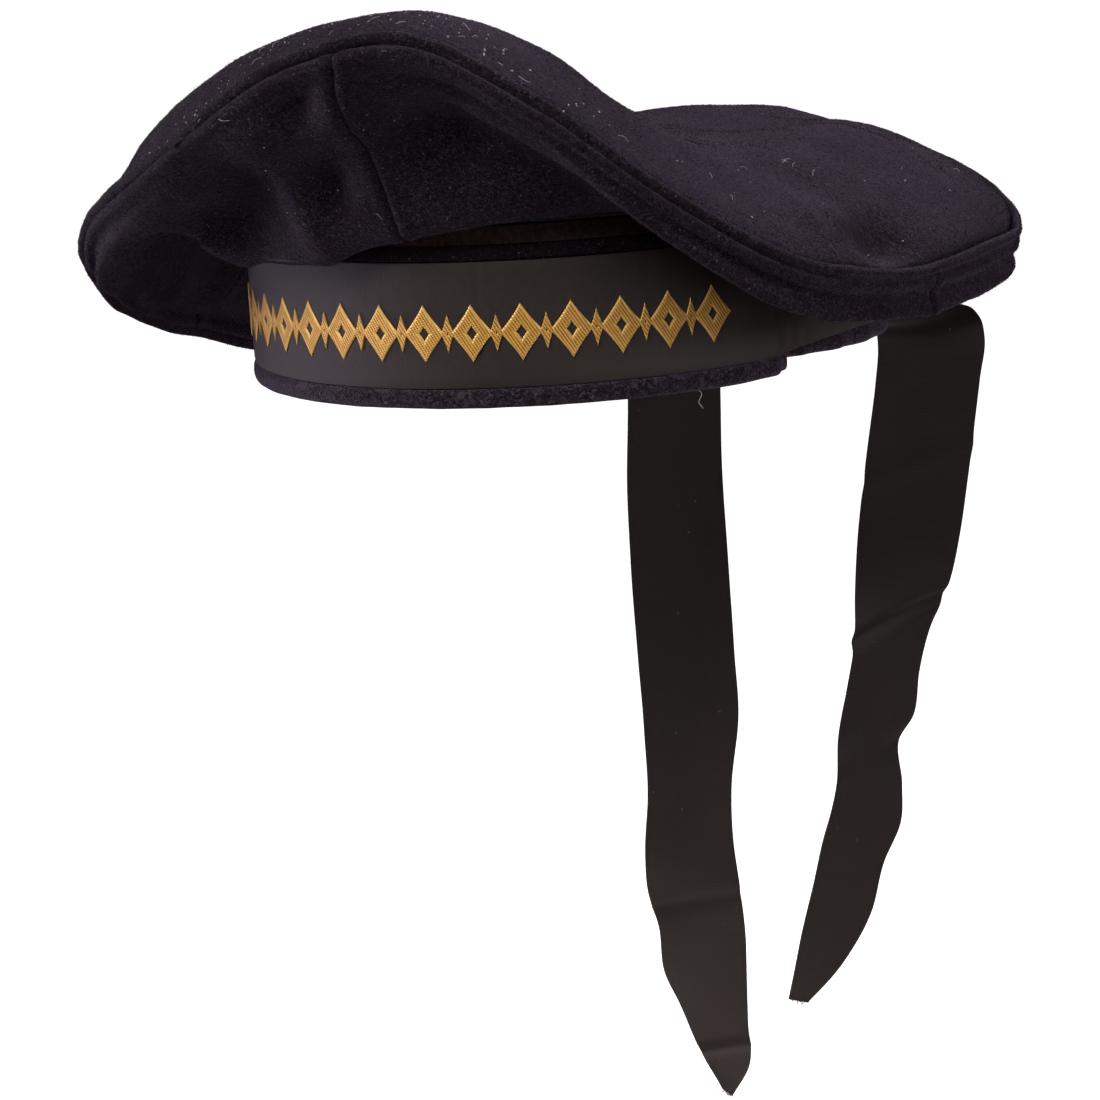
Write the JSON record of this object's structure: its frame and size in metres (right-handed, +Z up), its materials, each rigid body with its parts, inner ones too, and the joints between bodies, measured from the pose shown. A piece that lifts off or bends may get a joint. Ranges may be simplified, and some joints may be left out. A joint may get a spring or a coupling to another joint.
{
  "type": "sailor's plate cap",
  "caption": "Soft navy wool sailor's cap with a wide warped round top, a black ribbon round its band and two long ribbon tails hanging behind",
  "frame": {"origin": "middle of the head opening, at the level of the band's lower edge", "axes": "+Z up along the head, front towards -Y, right-hand side towards +X"},
  "size_m": [0.2612, 0.272, 0.3597],
  "materials": {
    "navy_wool": "napped wool melton",
    "black_tape": "smooth woven tape",
    "black_ribbon": "fine ribbed silk ribbon"
  },
  "bodies": {
    "root": {"crown_top": "navy_wool", "side_front_left": "navy_wool", "side_front_right": "navy_wool", "side_back_left": "navy_wool", "side_back_right": "navy_wool", "head_band": "navy_wool", "band_lower_welt": "navy_wool", "band_upper_welt": "navy_wool", "seam_tape": "black_tape", "ribbon_loop": "black_ribbon", "ribbon_knot": "black_ribbon", "ribbon_tail_left": "black_ribbon", "ribbon_tail_right": "black_ribbon"}
  },
  "joints": []
}
